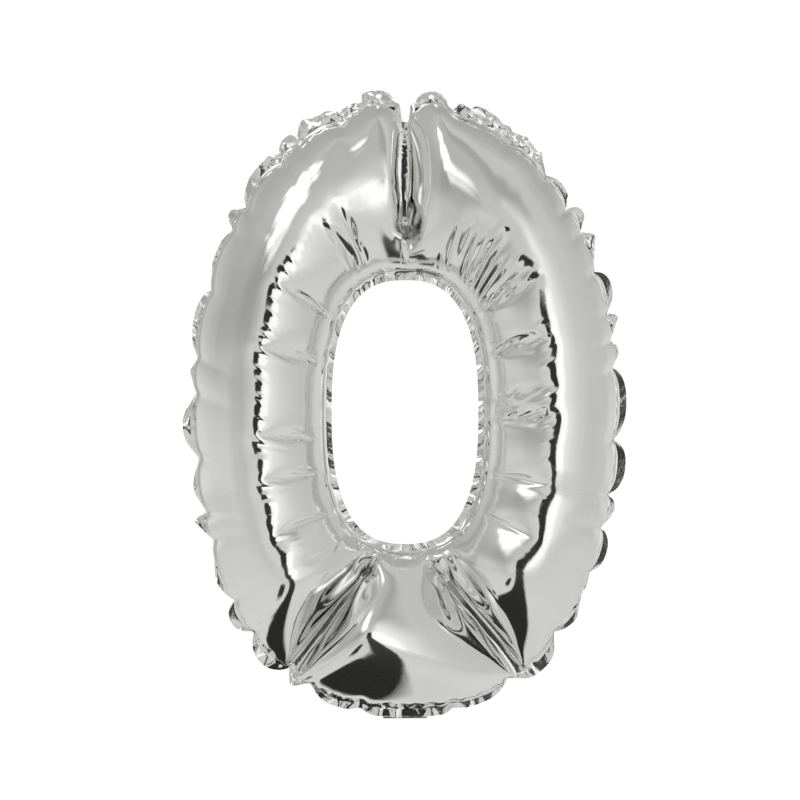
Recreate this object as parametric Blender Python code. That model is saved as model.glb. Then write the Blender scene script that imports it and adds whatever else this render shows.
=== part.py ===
"""Foil number balloon "0", inflated, hanging by the two tabs at the top of its lobes.

The balloon stands in the XZ plane and faces -Y. The origin lies midway between the two
hanging holes. Two foil sheets are heat sealed along their outer rim, round the hole, down
the notch at the top and along two darts below the hole. The real film is far thinner than
the walls here, which stand in for it. Units are metres.
"""

import math

import bmesh
import bpy
from mathutils import Vector

# Film and seals
WALL = 0.0006
SEAL_THICKNESS = 0.0004
GAP = 0.0003
FLANGE_FACE = SEAL_THICKNESS / 2 + GAP + WALL

# Outline of the outer rim, measured from its centre
CENTRE_Z = -0.1694
RIM_HALF_WIDTH = 0.122
RIM_TOP = 0.1655
RIM_BOTTOM = 0.1732
RIM_TOP_POWER = 2.1
RIM_BOTTOM_POWER = 2.3

# The hole of the 0
HOLE_HALF_WIDTH = 0.041
HOLE_HALF_HEIGHT = 0.0725
HOLE_POWER = 2.6
HOLE_DROP = 0.005

# Seal margins and the bulge between them
RIM_MARGIN = 0.006
HOLE_MARGIN = 0.005
BULGE_DEPTH = 0.038

# The notch between the lobes, and the cross weld below it
NOTCH_DEPTH = 0.013
NOTCH_HALF_WIDTH = 0.0018
LOBE_EDGE_X = 0.0032
SHOULDER_DROP = 0.004
SHOULDER_WIDTH = 0.008
CROSS_WELD_RISE = 0.100
CROSS_WELD_GROOVE = 0.015

# The two darts below the hole
DART_RIM_X = 0.067
DART_HOLE_X = 0.008
DART_START = 0.28
DART_GROOVE = 0.016

# Heat seal lines of the welds
WELD_HALF_WIDTH = 0.0025
SEAL_LINE_HALF_WIDTH = 0.0022

# Mesh steps
SIDE_STEPS = 22
TENT_STEPS = 6
BULGE_STEPS = 10
ARC_STEPS = 16

# Hanging tabs
TAB_X = 0.0145
TAB_HALF_WIDTH = 0.009
TAB_TOP = 0.0038
TAB_THICKNESS = 0.0016
TAB_HOLE_RADIUS = 0.0015
CUTTER_OVERRUN = 0.002

# Filling tail and its fold
TAIL_HALF_WIDTH = 0.012
TAIL_LENGTH = 0.034
TAIL_START = 0.0021
TAIL_SEAL_WIDTH = 0.004
TAIL_CORNER = 0.004
TAIL_FOLD = math.radians(115)
INLET_HALF_WIDTH = 0.008

# One-way valve films inside the chamber
VALVE_HALF_WIDTH = 0.010
VALVE_LENGTH = 0.047
VALVE_FILM = 0.0004
VALVE_TAPER = 0.003
VALVE_CLEARANCE = 0.0015

FOIL = {"colour": (0.80, 0.80, 0.79, 1.0), "metallic": 1.0, "roughness": 0.08}
SEAL = {"colour": (0.70, 0.70, 0.69, 1.0), "metallic": 0.6, "roughness": 0.35}
FILM = {"colour": (0.86, 0.88, 0.88, 1.0), "metallic": 0.0, "roughness": 0.20}


def clear_scene():
    for obj in list(bpy.data.objects):
        bpy.data.objects.remove(obj, do_unlink=True)


def material(name, look):
    mat = bpy.data.materials.new(name)
    mat.use_nodes = True
    shader = mat.node_tree.nodes["Principled BSDF"]
    shader.inputs["Base Color"].default_value = look["colour"]
    shader.inputs["Metallic"].default_value = look["metallic"]
    shader.inputs["Roughness"].default_value = look["roughness"]
    return mat


def add_object(name, bm, look, smooth=False):
    bmesh.ops.recalc_face_normals(bm, faces=bm.faces)
    mesh = bpy.data.meshes.new(name)
    bm.to_mesh(mesh)
    bm.free()
    obj = bpy.data.objects.new(name, mesh)
    bpy.context.scene.collection.objects.link(obj)
    mesh.materials.append(material(name, look))
    for polygon in mesh.polygons:
        polygon.use_smooth = smooth
    return obj


def signed_power(value, power):
    return math.copysign(abs(value) ** power, value)


def angle_at(x, half_width, power):
    """The curve angle, clockwise from the top, at which the outline is x from the middle."""
    return math.asin((x / half_width) ** (power / 2))


def hole_point(angle):
    x = HOLE_HALF_WIDTH * signed_power(math.sin(angle), 2 / HOLE_POWER)
    z = HOLE_HALF_HEIGHT * signed_power(math.cos(angle), 2 / HOLE_POWER)
    return Vector((x, CENTRE_Z - HOLE_DROP + z))


def rim_point(angle):
    upper = math.cos(angle) > 0
    power = RIM_TOP_POWER if upper else RIM_BOTTOM_POWER
    height = RIM_TOP if upper else RIM_BOTTOM
    x = RIM_HALF_WIDTH * signed_power(math.sin(angle), 2 / power)
    z = height * signed_power(math.cos(angle), 2 / power)
    if upper:
        z -= notch_drop(abs(x))
    return Vector((x, CENTRE_Z + z))


def notch_drop(x):
    """How far the rim falls below its oval at the notch and on the shoulders beside it."""
    slit = (LOBE_EDGE_X - x) / (LOBE_EDGE_X - NOTCH_HALF_WIDTH)
    slit = min(max(slit, 0.0), 1.0)
    shoulder = SHOULDER_DROP * math.exp(-((x / SHOULDER_WIDTH) ** 2))
    return slit * NOTCH_DEPTH + (1 - slit) * shoulder


def eased(step, steps):
    """A share from 0 to 1 whose steps are shorter near both ends."""
    share = step / steps
    return 0.5 * share + 0.25 * (1 - math.cos(math.pi * share))


def half_lines():
    """Pairs of angles, one on the hole and one on the rim, from the notch to the bottom."""
    top = (
        angle_at(WELD_HALF_WIDTH, HOLE_HALF_WIDTH, HOLE_POWER),
        angle_at(NOTCH_HALF_WIDTH, RIM_HALF_WIDTH, RIM_TOP_POWER),
    )
    lobe = (
        angle_at(LOBE_EDGE_X, HOLE_HALF_WIDTH, HOLE_POWER),
        angle_at(LOBE_EDGE_X, RIM_HALF_WIDTH, RIM_TOP_POWER),
    )
    dart = [
        (
            math.pi - angle_at(DART_HOLE_X + offset, HOLE_HALF_WIDTH, HOLE_POWER),
            math.pi - angle_at(DART_RIM_X + offset, RIM_HALF_WIDTH, RIM_BOTTOM_POWER),
        )
        for offset in (WELD_HALF_WIDTH, 0.0, -WELD_HALF_WIDTH)
    ]
    lines = [(0.0, 0.0), top]
    for step in range(SIDE_STEPS):
        share = eased(step, SIDE_STEPS)
        lines.append(tuple(a + (b - a) * share for a, b in zip(lobe, dart[0])))
    lines += dart
    for step in range(1, TENT_STEPS + 1):
        share = step / TENT_STEPS
        lines.append(tuple(a + (math.pi - a) * share for a in dart[2]))
    return lines


def ring_lines():
    """Hole point and rim point of each line, all the way round."""
    half = half_lines()
    other = [(-a, -b) for a, b in half[1:-1]]
    return [(hole_point(a), rim_point(b)) for a, b in half + other[::-1]]


def dart_line(side):
    hole = hole_point(math.pi - side * angle_at(DART_HOLE_X, HOLE_HALF_WIDTH, HOLE_POWER))
    rim = rim_point(math.pi - side * angle_at(DART_RIM_X, RIM_HALF_WIDTH, RIM_BOTTOM_POWER))
    return hole.lerp(rim, DART_START), rim


def weld_lines():
    """Start, end and groove width of each weld that crosses the tube."""
    cross = (Vector((0, CENTRE_Z + CROSS_WELD_RISE)), Vector((0, CENTRE_Z + RIM_TOP)))
    return [
        (*cross, CROSS_WELD_GROOVE),
        (*dart_line(1), DART_GROOVE),
        (*dart_line(-1), DART_GROOVE),
    ]


def distance_to(point, start, end):
    along = end - start
    share = (point - start).dot(along) / along.length_squared
    return (point - start - along * min(max(share, 0.0), 1.0)).length


def fullness(point, welds):
    """Share of the full bulge depth: nothing on a weld, all of it well away from one."""
    full = 1.0
    for start, end, groove in welds:
        clear = max(distance_to(point, start, end) - WELD_HALF_WIDTH, 0.0)
        full *= math.sqrt(1 - math.exp(-((clear / groove) ** 2)))
    return full


def sheet_rows(hole, rim, welds):
    """Points across the tube: (x, depth, z) from the hole's edge to the rim's edge."""
    width = (rim - hole).length
    inner = HOLE_MARGIN / width
    outer = 1 - RIM_MARGIN / width
    rows = [(hole, 0.0)]
    for step in range(BULGE_STEPS + 1):
        turn = math.pi * step / BULGE_STEPS
        share = inner + (outer - inner) * (1 - math.cos(turn)) / 2
        point = hole.lerp(rim, share)
        rows.append((point, BULGE_DEPTH * math.sin(turn) * fullness(point, welds)))
    rows.append((rim, 0.0))
    return [Vector((p.x, -FLANGE_FACE - depth, p.y)) for p, depth in rows]


def grid_normals(grid):
    """Outward unit normals of the front sheet's outer face."""
    normals = []
    for i, row in enumerate(grid):
        before = grid[i - 1]
        after = grid[(i + 1) % len(grid)]
        line = []
        for j in range(len(row)):
            across = row[min(j + 1, len(row) - 1)] - row[max(j - 1, 0)]
            along = after[j] - before[j]
            normal = across.cross(along).normalized()
            line.append(normal if normal.y < 0 else -normal)
        normals.append(line)
    return normals


def foil_sheet(name, facing):
    """One foil sheet, as a shell. facing is 1 for the front and -1 for the back."""
    welds = weld_lines()
    outer = [sheet_rows(hole, rim, welds) for hole, rim in ring_lines()]
    normals = grid_normals(outer)
    bm = bmesh.new()
    skins = []
    for inset in (0.0, WALL):
        skins.append([])
        for row, row_normals in zip(outer, normals):
            line = []
            for j, (point, normal) in enumerate(zip(row, row_normals)):
                flat = j in (0, len(row) - 1)
                push = Vector((0, 1, 0)) if flat else -normal
                place = point + push * inset
                line.append(bm.verts.new((place.x, place.y * facing, place.z)))
            skins[-1].append(line)
    outside, inside = skins
    count = len(outside)
    for i in range(count):
        k = (i + 1) % count
        for j in range(len(outside[0]) - 1):
            for skin in skins:
                bm.faces.new((skin[i][j], skin[k][j], skin[k][j + 1], skin[i][j + 1]))
        for j in (0, -1):
            bm.faces.new((outside[i][j], outside[k][j], inside[k][j], inside[i][j]))
    return add_object(name, bm, FOIL, smooth=True)


def plate(name, outline, thickness, look, offset_y=0.0):
    """A flat plate in the XZ plane from an outline of (x, z) points."""
    bm = bmesh.new()
    front = [bm.verts.new((p[0], offset_y - thickness / 2, p[1])) for p in outline]
    back = [bm.verts.new((p[0], offset_y + thickness / 2, p[1])) for p in outline]
    bm.faces.new(front)
    bm.faces.new(back[::-1])
    for i in range(len(front)):
        k = (i + 1) % len(front)
        bm.faces.new((front[i], front[k], back[k], back[i]))
    return add_object(name, bm, look)


def band(name, pairs, closed, look):
    """A flat band between two edges, given as pairs of (x, z) points."""
    bm = bmesh.new()
    half = SEAL_THICKNESS / 2
    rings = []
    for a, b in pairs:
        rings.append([bm.verts.new((p.x, y, p.y)) for p, y in ((a, -half), (b, -half), (b, half), (a, half))])
    count = len(rings)
    for i in range(count if closed else count - 1):
        k = (i + 1) % count
        for j in range(4):
            n = (j + 1) % 4
            bm.faces.new((rings[i][j], rings[k][j], rings[k][n], rings[i][n]))
    if not closed:
        bm.faces.new(rings[0])
        bm.faces.new(rings[-1][::-1])
    return add_object(name, bm, look)


def hole_seal():
    pairs = [(hole, hole + (rim - hole).normalized() * HOLE_MARGIN) for hole, rim in ring_lines()]
    return band("hole_seal_band", pairs, True, SEAL)


def rim_seal():
    """The rim's seal, left open at the bottom for the filling channel."""
    lines = ring_lines()
    bottom = len(lines) // 2
    order = lines[bottom:] + lines[:bottom]
    pairs = [(rim, rim + (hole - rim).normalized() * RIM_MARGIN) for hole, rim in order]
    ends = []
    for side in (-1, 1):
        angle = math.pi - side * angle_at(INLET_HALF_WIDTH, RIM_HALF_WIDTH, RIM_BOTTOM_POWER)
        rim = rim_point(angle)
        ends.append((rim, rim + Vector((0, RIM_MARGIN))))
    kept = [pair for pair in pairs if not (abs(pair[0].x) < INLET_HALF_WIDTH and pair[0].y < CENTRE_Z)]
    return band("outer_seal_band", [ends[0]] + kept + [ends[1]], False, SEAL)


def seal_strip(name, start, end):
    """A weld line with a round inner end, from its start to just short of the rim's seal."""
    along = (end - start).normalized()
    across = Vector((along.y, -along.x))
    width = SEAL_LINE_HALF_WIDTH
    outline = []
    for step in range(ARC_STEPS + 1):
        turn = math.pi * step / ARC_STEPS
        outline.append(start + across * (width * math.cos(turn)) - along * (width * math.sin(turn)))
    far = end - along * (RIM_MARGIN + WELD_HALF_WIDTH)
    outline += [far - across * width, far + across * width]
    return plate(name, outline, SEAL_THICKNESS, SEAL)


def hanging_tab(name, side):
    """A round-topped tab on the rim of one lobe, with its hanging hole punched through."""
    outline = []
    for step in range(ARC_STEPS + 1):
        x = TAB_X + TAB_HALF_WIDTH * (2 * step / ARC_STEPS - 1)
        z = rim_point(angle_at(x, RIM_HALF_WIDTH, RIM_TOP_POWER)).y + GAP
        outline.append((side * x, z))
    last = outline[-1][1]
    first = outline[0][1]
    for step in range(1, ARC_STEPS):
        turn = math.pi * step / ARC_STEPS
        base = last + (first - last) * step / ARC_STEPS
        x = TAB_X + TAB_HALF_WIDTH * math.cos(turn)
        outline.append((side * x, base + (TAB_TOP - base) * math.sin(turn) ** 0.7))
    tab = plate(name, outline, TAB_THICKNESS, FOIL)
    cut_hole(tab, side * TAB_X)
    return tab


def cut_hole(tab, x):
    bm = bmesh.new()
    bmesh.ops.create_cone(
        bm,
        cap_ends=True,
        segments=2 * ARC_STEPS,
        radius1=TAB_HOLE_RADIUS,
        radius2=TAB_HOLE_RADIUS,
        depth=TAB_THICKNESS + CUTTER_OVERRUN,
    )
    cutter = add_object(tab.name + "_punch", bm, SEAL)
    cutter.rotation_euler = (math.pi / 2, 0, 0)
    cutter.location = (x, 0, 0)
    cutter.hide_render = True
    cutter.display_type = "WIRE"
    cut = tab.modifiers.new("punch", "BOOLEAN")
    cut.operation = "DIFFERENCE"
    cut.solver = "EXACT"
    cut.object = cutter


def tail_outline():
    """The tail's outline, hanging down from the fold line, with rounded lower corners."""
    bottom = -TAIL_START - TAIL_LENGTH
    outline = [(-TAIL_HALF_WIDTH, -TAIL_START)]
    for side in (-1, 1):
        centre_x = side * (TAIL_HALF_WIDTH - TAIL_CORNER)
        for step in range(ARC_STEPS // 2 + 1):
            turn = math.pi / 2 * step / (ARC_STEPS // 2)
            sweep = turn if side < 0 else math.pi / 2 - turn
            x = centre_x + side * TAIL_CORNER * math.cos(sweep)
            outline.append((x, bottom + TAIL_CORNER * (1 - math.sin(sweep))))
    outline.append((TAIL_HALF_WIDTH, -TAIL_START))
    return outline


def filling_tail():
    """Two plies sealed along their sides, turning about the bottom of the rim."""
    hinge = bpy.data.objects.new("tail_fold_axis", None)
    bpy.context.scene.collection.objects.link(hinge)
    hinge.location = (0, 0, CENTRE_Z - RIM_BOTTOM - GAP)
    hinge.rotation_euler = (TAIL_FOLD, 0, 0)
    ply_y = SEAL_THICKNESS / 2 + GAP + WALL / 2
    plies = [
        plate("tail_front_ply", tail_outline(), WALL, FOIL, -ply_y),
        plate("tail_back_ply", tail_outline(), WALL, FOIL, ply_y),
    ]
    inner = TAIL_HALF_WIDTH - TAIL_SEAL_WIDTH
    low = -TAIL_START - TAIL_LENGTH + TAIL_CORNER
    seals = []
    for name, side in (("tail_left_seal", -1), ("tail_right_seal", 1)):
        corners = [
            (side * inner, -TAIL_START),
            (side * TAIL_HALF_WIDTH, -TAIL_START),
            (side * TAIL_HALF_WIDTH, low),
            (side * inner, low),
        ]
        seals.append(plate(name, corners, SEAL_THICKNESS, SEAL))
    for piece in plies + seals:
        piece.parent = hinge


def valve_film(name, facing):
    """One film of the one-way valve: flat against the other, turning about its lower end."""
    outline = [
        (-VALVE_HALF_WIDTH, 0),
        (VALVE_HALF_WIDTH, 0),
        (VALVE_HALF_WIDTH - VALVE_TAPER, VALVE_LENGTH),
        (-VALVE_HALF_WIDTH + VALVE_TAPER, VALVE_LENGTH),
    ]
    film = plate(name, outline, VALVE_FILM, FILM)
    base = CENTRE_Z - RIM_BOTTOM + RIM_MARGIN + VALVE_CLEARANCE
    film.location = (0, -facing * (GAP + VALVE_FILM) / 2, base)


def main():
    clear_scene()
    foil_sheet("front_foil_sheet", 1)
    foil_sheet("back_foil_sheet", -1)
    rim_seal()
    hole_seal()
    notch_floor = Vector((0, CENTRE_Z + RIM_TOP - NOTCH_DEPTH))
    seal_strip("top_cross_seal", Vector((0, CENTRE_Z + CROSS_WELD_RISE)), notch_floor)
    seal_strip("right_dart_seal", *dart_line(1))
    seal_strip("left_dart_seal", *dart_line(-1))
    hanging_tab("right_hanging_tab", 1)
    hanging_tab("left_hanging_tab", -1)
    filling_tail()
    valve_film("valve_front_film", 1)
    valve_film("valve_back_film", -1)


main()
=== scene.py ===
"""Looks of the silver foil number balloon "0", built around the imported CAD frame.

The two foil sheets are inflated here: a grid of film for each sheet starts as the smooth
inflated shape, is given a little more film than that shape needs where a real balloon has
slack, and is then relaxed with air pressure inside, so that the slack gathers into creases.
The simulation works in millimetres and everything else in metres. The balloon faces -Y.
"""

import math

import bpy
import numpy as np
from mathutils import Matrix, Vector


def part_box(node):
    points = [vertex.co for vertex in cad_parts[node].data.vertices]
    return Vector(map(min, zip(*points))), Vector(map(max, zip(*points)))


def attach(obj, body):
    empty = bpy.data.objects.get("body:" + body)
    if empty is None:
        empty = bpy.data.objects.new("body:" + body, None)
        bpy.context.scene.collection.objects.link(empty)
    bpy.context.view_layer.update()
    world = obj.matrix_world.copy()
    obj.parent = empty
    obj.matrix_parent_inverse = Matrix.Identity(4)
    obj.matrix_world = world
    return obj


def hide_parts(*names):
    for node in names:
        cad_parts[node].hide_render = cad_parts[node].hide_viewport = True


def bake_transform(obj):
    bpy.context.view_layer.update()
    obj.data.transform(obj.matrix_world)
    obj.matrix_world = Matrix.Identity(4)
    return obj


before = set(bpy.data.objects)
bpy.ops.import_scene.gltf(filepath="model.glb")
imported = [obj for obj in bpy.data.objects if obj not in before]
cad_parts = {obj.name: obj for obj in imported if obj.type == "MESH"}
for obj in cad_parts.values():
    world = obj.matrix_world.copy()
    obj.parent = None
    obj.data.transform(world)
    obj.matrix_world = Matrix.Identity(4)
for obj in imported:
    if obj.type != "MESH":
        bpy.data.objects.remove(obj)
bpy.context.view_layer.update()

MM = 0.001
F = np.float32

# -------------------- outline, millimetres
rim_low, rim_high = (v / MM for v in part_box("outer_seal_band"))
hole_low, hole_high = (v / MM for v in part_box("hole_seal_band"))

HOLE_MARGIN = 5.0
RIM_MARGIN = 6.0
CREST_TUCK = 4.6
LACE_WIDTH = 8.5
HOLE_CENTRE_Z = (hole_low.z + hole_high.z) / 2
HOLE_DROP = 5.0
CENTRE_Z = HOLE_CENTRE_Z + HOLE_DROP
RIM_HALF_WIDTH = (rim_high.x - rim_low.x) / 2
RIM_TOP = 167.0
RIM_BOTTOM = CENTRE_Z - rim_low.z
RIM_TOP_POWER = 2.1
RIM_BOTTOM_POWER = 2.3
HOLE_HALF_WIDTH = (hole_high.x - hole_low.x) / 2 - HOLE_MARGIN
HOLE_HALF_HEIGHT = (hole_high.z - hole_low.z) / 2 - HOLE_MARGIN
HOLE_POWER = 2.6
BULGE_DEPTH = 37.0

NOTCH_DEPTH = 13.0
NOTCH_HALF_WIDTH = 1.7
LOBE_EDGE_X = 2.8
SHOULDER_DROP = 4.0
SHOULDER_WIDTH = 8.0
CROSS_WELD_RISE = 100.0
CROSS_WELD_GROOVE = 7.0
LOBE_SLOPE = 0.30
LOBE_REACH = 46.0
DART_RIM_X = 67.0
DART_HOLE_X = 8.0
DART_START = 0.28
DART_GROOVE = 16.0
WELD_HALF_WIDTH = 2.2

# -------------------- edges and creases: lengths in millimetres, the rest are shares
PUCKER_PITCH = 27.0
PUCKER_SPREAD = 0.5
PUCKER_WEAKEST = 0.35
CUSP_DEPTH = 2.4
PUFF_SWELL = 0.6
NOTCH_CALM = 14.0
INLET_CALM = 44.0
CREST_X = 17.0
CREST_WIDTH = 12.0
LACE_START = 28.0
LACE_END = 76.0
FLANGE_WAVE = 1.3
HOLE_WAVE = 0.7
CELL_FULLNESS = 0.75
CELL_STEEPNESS = 0.20
CROWN_SHARE = 0.475
RIDGE_HEIGHT = 0.9
RIDGE_WIDTH = 0.9
VALLEY_DEPTH = 1.5
VALLEY_WIDTH = 2.4

# -------------------- film grid and solver
ROUND_STEPS = 900
HOLE_ROWS = 3
CHAMBER_ROWS = 80
RIM_ROWS = 4
RELAX_STEPS = 400
PRESSURE = 0.00022
VELOCITY_KEPT = 0.97
BENDING = 0.002
SHEAR_STIFFNESS = 0.6
HOLE_HOLD = 0.25
RIM_HOLD = 0.05
SEAM_FLATTEN = 0.01
SEED = 5
HALF_FILM = 0.06

# -------------------- tabs, tail and valve
TAB_X = 14.5
TAB_INNER = 9.0
TAB_OUTER = {1: 9.0, -1: 15.0}
TAB_RISE = 3.8
TAB_DROP = 13.0
TAB_WAIST = -6.0
TAB_HOLE = 1.5
TAB_BEND_Z = -5.0
TAB_TURNS = 72
TAB_RINGS = 9
TAB_LEAN = {1: 0.62, -1: 0.52}
TAB_ROLL_START = 6.0
TAB_ROLL = 3.4
HINGE_Z = -342.9
TAIL_REST_RISE = 25.0
TAIL_BEND = 0.9
TAIL_LENGTH = 35.0
TAIL_HALF_WIDTH = 12.0
TAIL_COLUMNS = 25
TAIL_SEAL_COLUMNS = 5
VALVE_BASE = -335.1
VALVE_LENGTH = 47.0
VALVE_HALF_WIDTH = 10.0
VALVE_TAPER = 3.0

# -------------------- looks and studio, metres
FOIL_TINT = (0.88, 0.88, 0.87)
FOIL_CLOUD = 0.955
FOIL_ROUGHNESS = (0.045, 0.085)
SEAL_ROUGHNESS = 0.04
WORN_ROUGHNESS = 0.09
CRINKLE_HEIGHT = 0.00002
EMBOSS_HEIGHT = 0.00004
VIEW_CENTRE = Vector((-0.00275, 0, -0.16775))
VIEW_WIDTH = 0.44
CAMERA_DISTANCE = 3.0
SENSOR_WIDTH = 36
BACKDROP_WHITE = 1.05
STUDIO_TINT = (1.0, 1.0, 0.99, 1)
FLOOR_TINT = (0.9, 0.9, 0.89)
FLOOR_DROP = 0.45
FLOOR_RADIUS = 2.9
FLOOR_FADE = 1.2
FLOOR_TURNS = 96
LAMP_RISE = 2.0
LAMP_SIZE = 2.0
LAMP_POWER = 19
CLOTH_RISE = 0.05
CLOTH_TONES = (0.014, 0.024)


def signed_power(value, power):
    return np.sign(value) * np.abs(value) ** power


def hill(value, width, power=2):
    """1 at zero, falling smoothly to 0 on both sides."""
    return np.exp(-((value / width) ** power))


def sigmoid(value):
    """From 0 to 1, one half at zero."""
    return 1 / (1 + np.exp(-value))


def angle_at(x, half_width, power):
    """Curve angle, clockwise from the top, at which an outline is x from the middle."""
    return math.asin((x / half_width) ** (power / 2))


def hole_points(angle):
    x = HOLE_HALF_WIDTH * signed_power(np.sin(angle), 2 / HOLE_POWER)
    z = HOLE_HALF_HEIGHT * signed_power(np.cos(angle), 2 / HOLE_POWER)
    return np.stack([x, HOLE_CENTRE_Z + z], -1)


def rim_points(angle):
    upper = np.cos(angle) > 0
    power = np.where(upper, 2 / RIM_TOP_POWER, 2 / RIM_BOTTOM_POWER)
    height = np.where(upper, RIM_TOP, RIM_BOTTOM)
    x = RIM_HALF_WIDTH * signed_power(np.sin(angle), power)
    z = height * signed_power(np.cos(angle), power)
    off = np.abs(x)
    slit = np.clip((LOBE_EDGE_X - off) / (LOBE_EDGE_X - NOTCH_HALF_WIDTH), 0, 1)
    shoulder = SHOULDER_DROP * hill(off, SHOULDER_WIDTH)
    drop = slit * NOTCH_DEPTH + (1 - slit) * shoulder
    return np.stack([x, CENTRE_Z + z - np.where(upper, drop, 0)], -1)


def weld_angles(dart_x, half_width, top_power, bottom_power):
    """Curve angles, clockwise, finely spaced between the notch, a lobe, a dart and the bottom."""
    stops = [
        0,
        angle_at(NOTCH_HALF_WIDTH, half_width, top_power),
        angle_at(LOBE_EDGE_X, half_width, top_power),
        math.pi - angle_at(dart_x, half_width, bottom_power),
        math.pi,
    ]
    right = np.interp(np.linspace(0, 4, 4001), range(5), stops)
    return np.concatenate([right, 2 * math.pi - right[-2::-1]])


def grid_angles(count):
    """Hole angle and rim angle of each line across the tube, evenly spaced, clockwise."""
    hole = weld_angles(DART_HOLE_X, HOLE_HALF_WIDTH, HOLE_POWER, HOLE_POWER)
    rim = weld_angles(DART_RIM_X, RIM_HALF_WIDTH, RIM_TOP_POWER, RIM_BOTTOM_POWER)
    hole_steps = np.linalg.norm(np.diff(hole_points(hole), axis=0), axis=1)
    rim_steps = np.linalg.norm(np.diff(rim_points(rim), axis=0), axis=1)
    length = np.concatenate([[0], np.cumsum(0.45 * hole_steps + 0.55 * rim_steps)])
    share = np.arange(count) / count * length[-1]
    return np.interp(share, length, hole), np.interp(share, length, rim)


def segment_distance(points, start, end):
    start = np.asarray(start, float)
    along = np.asarray(end, float) - start
    share = np.clip(((points - start) @ along) / (along @ along), 0, 1)
    return np.linalg.norm(points - start - share[..., None] * along, axis=-1)


def dart_ends(side):
    hole_angle = math.pi - side * angle_at(DART_HOLE_X, HOLE_HALF_WIDTH, HOLE_POWER)
    rim_angle = math.pi - side * angle_at(DART_RIM_X, RIM_HALF_WIDTH, RIM_BOTTOM_POWER)
    hole = hole_points(np.array(hole_angle))
    rim = rim_points(np.array(rim_angle))
    return hole + (rim - hole) * DART_START, rim


def weld_lines():
    """Start, end and groove width of each weld that crosses the tube."""
    top = (0.0, CENTRE_Z + RIM_TOP + 2)
    return [
        ((0.0, CENTRE_Z + CROSS_WELD_RISE), top, CROSS_WELD_GROOVE),
        (*dart_ends(1), DART_GROOVE),
        (*dart_ends(-1), DART_GROOVE),
    ]


def turns(count):
    """Cosines and sines of evenly spaced angles all the way round."""
    angle = np.arange(count) / count * 2 * np.pi
    return np.cos(angle), np.sin(angle)


def running_length(points):
    steps = np.linalg.norm(np.roll(points, -1, 0) - points, axis=1)
    return np.concatenate([[0], np.cumsum(steps)[:-1]]), steps.sum()


def puckers(points, pitch, spread, weakest, rng):
    """Uneven puffs along a closed edge: how near each point is to a cusp between two."""
    place, length = running_length(points)
    count = int(round(length / pitch))
    edges = np.concatenate([[0], np.cumsum(rng.uniform(1 - spread, 1 + spread, count))])
    edges *= length / edges[-1]
    index = np.clip(np.searchsorted(edges, place, side="right") - 1, 0, count - 1)
    phase = (place - edges[index]) / (edges[index + 1] - edges[index])
    strength = rng.uniform(weakest, 1.0, count + 1)
    strength[-1] = strength[0]
    near = np.where(phase < 0.5, strength[index], strength[index + 1])
    return 1 - np.abs(np.sin(np.pi * phase)), near, phase, index


def soft_noise(rng, count, period):
    knots = max(4, int(count / period))
    value = rng.normal(0, 1, knots)
    place = np.arange(count) / count * knots
    low = np.floor(place).astype(int)
    share = place - low
    share = share * share * (3 - 2 * share)
    return value[low % knots] * (1 - share) + value[(low + 1) % knots] * share


# Creases of the front sheet round the hole: where each starts by the hole and where it ends
# on the crown (x, z in millimetres), and how deep it is.
FRONT_CREASES = [
    ((-29.2, -89.0), (-41.2, -77.6), 0.5),
    ((-22.0, -89.8), (-30.2, -73.2), 0.4),
    ((-38.0, -121.6), (-70.9, -103.4), 1.0),
    ((-44.0, -144.1), (-87.4, -140.3), 1.0),
    ((-48.9, -186.4), (-81.4, -189.2), 0.9),
    ((-46.2, -206.3), (-75.3, -212.8), 0.8),
    ((-47.3, -231.0), (-68.2, -240.9), 0.9),
    ((-37.4, -244.7), (-50.0, -254.0), 0.8),
    ((40.2, -96.3), (52.8, -78.7), 0.8),
    ((49.5, -110.0), (67.1, -96.3), 0.8),
    ((41.8, -115.5), (71.0, -101.2), 1.0),
    ((46.8, -138.1), (85.2, -132.5), 1.0),
    ((55.0, -163.3), (87.4, -160.0), 0.5),
    ((50.6, -172.1), (87.4, -175.4), 0.9),
    ((49.0, -208.4), (82.0, -213.4), 0.9),
    ((52.3, -233.8), (70.4, -243.6), 0.8),
    ((29.0, -252.0), (37.0, -268.0), 0.8),
    ((-28.0, -252.0), (-35.0, -266.0), 0.7),
]
CHORD_START, CHORD_END = 0.06, 0.50

# Ribs fanned round the hole at the upper right: where they begin and end, how many, how high.
FAN_ENDS = ((33.0, -92.0), (52.0, -112.0))
FAN_RIBS = 6
FAN_HEIGHT = 0.8

# Soft valleys down the lobes: two ends (x, z), depth and half width in millimetres.
SOFT_FOLDS = [
    ((-23.1, -10.0), (-49.5, -75.0), 1.1, 6.0),
    ((36.0, -14.0), (56.1, -49.5), 1.3, 6.5),
    ((56.1, -49.5), (71.5, -97.0), 1.3, 6.5),
    ((25.9, -52.0), (41.0, -80.0), 0.9, 4.5),
    ((-88.0, -60.0), (-92.0, -230.0), 0.5, 6.0),
    ((78.0, -222.0), (62.0, -285.0), 2.4, 13.0),
]


def wrap(value, count):
    return (value + count / 2) % count - count / 2


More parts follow.
